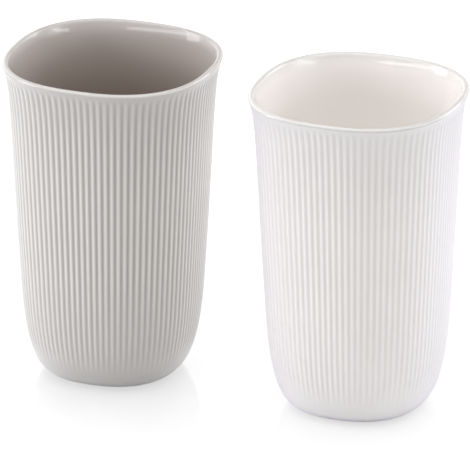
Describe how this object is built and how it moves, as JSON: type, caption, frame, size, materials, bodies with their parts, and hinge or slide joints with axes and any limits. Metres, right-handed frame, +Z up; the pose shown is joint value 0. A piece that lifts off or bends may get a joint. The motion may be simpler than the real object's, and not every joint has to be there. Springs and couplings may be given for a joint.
{
  "type": "ribbed porcelain tumbler pair",
  "caption": "A grey and a white handleless tumbler for drinks, straight-ribbed outside, with soft-square flared mouths, rounded heels and a glossy glaze inside.",
  "frame": {"origin": "on the standing surface, midway between the tumblers", "axes": "+X from the grey tumbler's centre to the white one's, +Y across the tumblers' flats, +Z up out of their mouths"},
  "size_m": [0.1718, 0.0768, 0.12],
  "materials": {
    "grey_porcelain": "satin, unglazed",
    "grey_glaze": "gloss",
    "white_porcelain": "satin, unglazed",
    "white_glaze": "gloss"
  },
  "bodies": {
    "grey_tumbler": {"grey_tumbler": "grey_porcelain", "grey_inner_glaze": "grey_glaze"},
    "white_tumbler": {"white_tumbler": "white_porcelain", "white_inner_glaze": "white_glaze"}
  },
  "joints": [
    {"name": "white_tumbler_lift", "type": "slide", "parent": "grey_tumbler", "child": "white_tumbler", "axis": [0, 0, 1], "range_m": [0, 0.15]}
  ]
}
